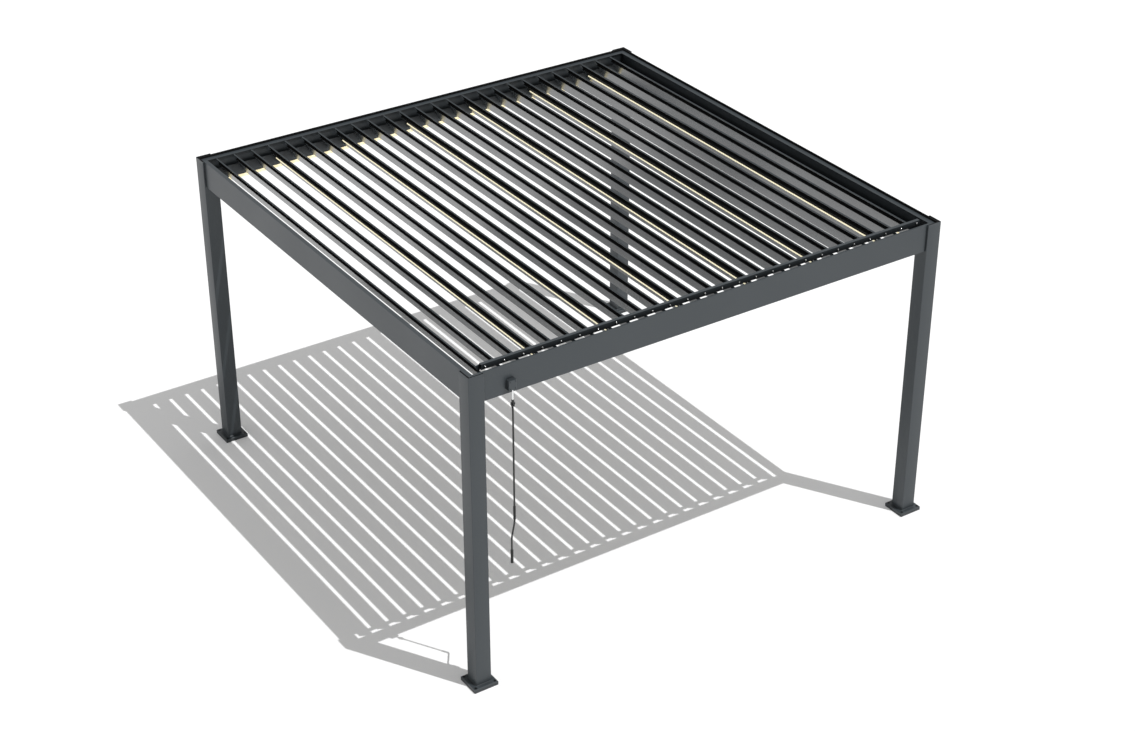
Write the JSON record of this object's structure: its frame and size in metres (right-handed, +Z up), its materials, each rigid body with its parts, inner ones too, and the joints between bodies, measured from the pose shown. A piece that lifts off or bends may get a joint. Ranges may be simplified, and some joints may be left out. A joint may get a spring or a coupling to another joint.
{
  "type": "louvered pergola",
  "caption": "Free-standing pergola with a roof of linked tilting louvers, built-in light strips, a control bar and a hand crank.",
  "frame": {"origin": "on the ground, at the middle of the four posts' footprint", "axes": "+Z up, the front with the control bar and the crank faces -Y, +X to the right seen from the front, the louvers run along Y"},
  "size_m": [4.07, 4.145, 2.5133],
  "materials": {
    "aluminium_frame": "anthracite powder coat, satin",
    "aluminium_louver": "anthracite powder coat, satin",
    "light_diffuser": "warm white diffuser",
    "coated_casting": "anthracite powder coat, satin",
    "zinc_shaft": "bright zinc",
    "coated_steel": "dark powder coat",
    "grip_plastic": "moulded, matt"
  },
  "bodies": {
    "frame": {"post_front_left": "aluminium_frame", "post_front_right": "aluminium_frame", "post_back_left": "aluminium_frame", "post_back_right": "aluminium_frame", "foot_plates": "aluminium_frame", "corner_caps": "aluminium_frame", "beam_front": "aluminium_frame", "beam_back": "aluminium_frame", "beam_left": "aluminium_frame", "beam_right": "aluminium_frame", "perimeter_light": "light_diffuser", "gearbox": "coated_casting"},
    "louver_01": {"louver_01": "aluminium_louver"},
    "louver_02": {"louver_02": "aluminium_louver"},
    "louver_03": {"louver_03": "aluminium_louver"},
    "louver_04": {"louver_04": "aluminium_louver", "louver_light_04": "light_diffuser"},
    "louver_05": {"louver_05": "aluminium_louver"},
    "louver_06": {"louver_06": "aluminium_louver"},
    "louver_07": {"louver_07": "aluminium_louver"},
    "louver_08": {"louver_08": "aluminium_louver", "louver_light_08": "light_diffuser"},
    "louver_09": {"louver_09": "aluminium_louver"},
    "louver_10": {"louver_10": "aluminium_louver"},
    "louver_11": {"louver_11": "aluminium_louver"},
    "louver_12": {"louver_12": "aluminium_louver", "louver_light_12": "light_diffuser"},
    "louver_13": {"louver_13": "aluminium_louver"},
    "louver_14": {"louver_14": "aluminium_louver"},
    "louver_15": {"louver_15": "aluminium_louver"},
    "louver_16": {"louver_16": "aluminium_louver", "louver_light_16": "light_diffuser"},
    "louver_17": {"louver_17": "aluminium_louver"},
    "louver_18": {"louver_18": "aluminium_louver"},
    "louver_19": {"louver_19": "aluminium_louver"},
    "louver_20": {"louver_20": "aluminium_louver", "louver_light_20": "light_diffuser"},
    "louver_21": {"louver_21": "aluminium_louver"},
    "louver_22": {"louver_22": "aluminium_louver"},
    "louver_23": {"louver_23": "aluminium_louver"},
    "louver_24": {"louver_24": "aluminium_louver", "louver_light_24": "light_diffuser"},
    "louver_25": {"louver_25": "aluminium_louver"},
    "louver_26": {"louver_26": "aluminium_louver"},
    "control_bar": {"control_bar": "aluminium_frame"},
    "crank": {"crank_shaft": "zinc_shaft", "crank_eye": "coated_steel", "crank_rod": "coated_steel", "crank_grips": "grip_plastic"}
  },
  "joints": [
    {"name": "louver_01_tilt", "type": "hinge", "parent": "frame", "child": "louver_01", "pos_m": [-1.8165, -1.9155, 2.3895], "axis": [0, 1, 0], "range_deg": [-60, 20]},
    {"name": "louver_02_tilt", "type": "hinge", "parent": "frame", "child": "louver_02", "pos_m": [-1.67, -1.9155, 2.3895], "axis": [0, 1, 0], "range_deg": [-60, 20]},
    {"name": "louver_03_tilt", "type": "hinge", "parent": "frame", "child": "louver_03", "pos_m": [-1.5235, -1.9155, 2.3895], "axis": [0, 1, 0], "range_deg": [-60, 20]},
    {"name": "louver_04_tilt", "type": "hinge", "parent": "frame", "child": "louver_04", "pos_m": [-1.377, -1.9155, 2.3895], "axis": [0, 1, 0], "range_deg": [-60, 20]},
    {"name": "louver_05_tilt", "type": "hinge", "parent": "frame", "child": "louver_05", "pos_m": [-1.2305, -1.9155, 2.3895], "axis": [0, 1, 0], "range_deg": [-60, 20]},
    {"name": "louver_06_tilt", "type": "hinge", "parent": "frame", "child": "louver_06", "pos_m": [-1.084, -1.9155, 2.3895], "axis": [0, 1, 0], "range_deg": [-60, 20]},
    {"name": "louver_07_tilt", "type": "hinge", "parent": "frame", "child": "louver_07", "pos_m": [-0.9375, -1.9155, 2.3895], "axis": [0, 1, 0], "range_deg": [-60, 20]},
    {"name": "louver_08_tilt", "type": "hinge", "parent": "frame", "child": "louver_08", "pos_m": [-0.791, -1.9155, 2.3895], "axis": [0, 1, 0], "range_deg": [-60, 20]},
    {"name": "louver_09_tilt", "type": "hinge", "parent": "frame", "child": "louver_09", "pos_m": [-0.6445, -1.9155, 2.3895], "axis": [0, 1, 0], "range_deg": [-60, 20]},
    {"name": "louver_10_tilt", "type": "hinge", "parent": "frame", "child": "louver_10", "pos_m": [-0.498, -1.9155, 2.3895], "axis": [0, 1, 0], "range_deg": [-60, 20]},
    {"name": "louver_11_tilt", "type": "hinge", "parent": "frame", "child": "louver_11", "pos_m": [-0.3515, -1.9155, 2.3895], "axis": [0, 1, 0], "range_deg": [-60, 20]},
    {"name": "louver_12_tilt", "type": "hinge", "parent": "frame", "child": "louver_12", "pos_m": [-0.205, -1.9155, 2.3895], "axis": [0, 1, 0], "range_deg": [-60, 20]},
    {"name": "louver_13_tilt", "type": "hinge", "parent": "frame", "child": "louver_13", "pos_m": [-0.0585, -1.9155, 2.3895], "axis": [0, 1, 0], "range_deg": [-60, 20]},
    {"name": "louver_14_tilt", "type": "hinge", "parent": "frame", "child": "louver_14", "pos_m": [0.088, -1.9155, 2.3895], "axis": [0, 1, 0], "range_deg": [-60, 20]},
    {"name": "louver_15_tilt", "type": "hinge", "parent": "frame", "child": "louver_15", "pos_m": [0.2345, -1.9155, 2.3895], "axis": [0, 1, 0], "range_deg": [-60, 20]},
    {"name": "louver_16_tilt", "type": "hinge", "parent": "frame", "child": "louver_16", "pos_m": [0.381, -1.9155, 2.3895], "axis": [0, 1, 0], "range_deg": [-60, 20]},
    {"name": "louver_17_tilt", "type": "hinge", "parent": "frame", "child": "louver_17", "pos_m": [0.5275, -1.9155, 2.3895], "axis": [0, 1, 0], "range_deg": [-60, 20]},
    {"name": "louver_18_tilt", "type": "hinge", "parent": "frame", "child": "louver_18", "pos_m": [0.674, -1.9155, 2.3895], "axis": [0, 1, 0], "range_deg": [-60, 20]},
    {"name": "louver_19_tilt", "type": "hinge", "parent": "frame", "child": "louver_19", "pos_m": [0.8205, -1.9155, 2.3895], "axis": [0, 1, 0], "range_deg": [-60, 20]},
    {"name": "louver_20_tilt", "type": "hinge", "parent": "frame", "child": "louver_20", "pos_m": [0.967, -1.9155, 2.3895], "axis": [0, 1, 0], "range_deg": [-60, 20]},
    {"name": "louver_21_tilt", "type": "hinge", "parent": "frame", "child": "louver_21", "pos_m": [1.1135, -1.9155, 2.3895], "axis": [0, 1, 0], "range_deg": [-60, 20]},
    {"name": "louver_22_tilt", "type": "hinge", "parent": "frame", "child": "louver_22", "pos_m": [1.26, -1.9155, 2.3895], "axis": [0, 1, 0], "range_deg": [-60, 20]},
    {"name": "louver_23_tilt", "type": "hinge", "parent": "frame", "child": "louver_23", "pos_m": [1.4065, -1.9155, 2.3895], "axis": [0, 1, 0], "range_deg": [-60, 20]},
    {"name": "louver_24_tilt", "type": "hinge", "parent": "frame", "child": "louver_24", "pos_m": [1.553, -1.9155, 2.3895], "axis": [0, 1, 0], "range_deg": [-60, 20]},
    {"name": "louver_25_tilt", "type": "hinge", "parent": "frame", "child": "louver_25", "pos_m": [1.6995, -1.9155, 2.3895], "axis": [0, 1, 0], "range_deg": [-60, 20]},
    {"name": "louver_26_tilt", "type": "hinge", "parent": "frame", "child": "louver_26", "pos_m": [1.846, -1.9155, 2.3895], "axis": [0, 1, 0], "range_deg": [-60, 20]},
    {"name": "control_bar_pivot", "type": "hinge", "parent": "louver_01", "child": "control_bar", "pos_m": [-1.8187, -1.897, 2.49331], "axis": [0, 1, 0], "range_deg": [-20, 60]},
    {"name": "crank_turn", "type": "hinge", "parent": "frame", "child": "crank", "pos_m": [-1.674, -2.008, 2.333], "axis": [0, 0, 1], "range_deg": [-1080, 360]}
  ],
  "couplings": [
    {"joint": "louver_02_tilt", "follows": "louver_01_tilt", "ratio": 1},
    {"joint": "louver_03_tilt", "follows": "louver_01_tilt", "ratio": 1},
    {"joint": "louver_04_tilt", "follows": "louver_01_tilt", "ratio": 1},
    {"joint": "louver_05_tilt", "follows": "louver_01_tilt", "ratio": 1},
    {"joint": "louver_06_tilt", "follows": "louver_01_tilt", "ratio": 1},
    {"joint": "louver_07_tilt", "follows": "louver_01_tilt", "ratio": 1},
    {"joint": "louver_08_tilt", "follows": "louver_01_tilt", "ratio": 1},
    {"joint": "louver_09_tilt", "follows": "louver_01_tilt", "ratio": 1},
    {"joint": "louver_10_tilt", "follows": "louver_01_tilt", "ratio": 1},
    {"joint": "louver_11_tilt", "follows": "louver_01_tilt", "ratio": 1},
    {"joint": "louver_12_tilt", "follows": "louver_01_tilt", "ratio": 1},
    {"joint": "louver_13_tilt", "follows": "louver_01_tilt", "ratio": 1},
    {"joint": "louver_14_tilt", "follows": "louver_01_tilt", "ratio": 1},
    {"joint": "louver_15_tilt", "follows": "louver_01_tilt", "ratio": 1},
    {"joint": "louver_16_tilt", "follows": "louver_01_tilt", "ratio": 1},
    {"joint": "louver_17_tilt", "follows": "louver_01_tilt", "ratio": 1},
    {"joint": "louver_18_tilt", "follows": "louver_01_tilt", "ratio": 1},
    {"joint": "louver_19_tilt", "follows": "louver_01_tilt", "ratio": 1},
    {"joint": "louver_20_tilt", "follows": "louver_01_tilt", "ratio": 1},
    {"joint": "louver_21_tilt", "follows": "louver_01_tilt", "ratio": 1},
    {"joint": "louver_22_tilt", "follows": "louver_01_tilt", "ratio": 1},
    {"joint": "louver_23_tilt", "follows": "louver_01_tilt", "ratio": 1},
    {"joint": "louver_24_tilt", "follows": "louver_01_tilt", "ratio": 1},
    {"joint": "louver_25_tilt", "follows": "louver_01_tilt", "ratio": 1},
    {"joint": "louver_26_tilt", "follows": "louver_01_tilt", "ratio": 1},
    {"joint": "control_bar_pivot", "follows": "louver_01_tilt", "ratio": -1},
    {"joint": "crank_turn", "follows": "louver_01_tilt", "ratio": 18}
  ]
}
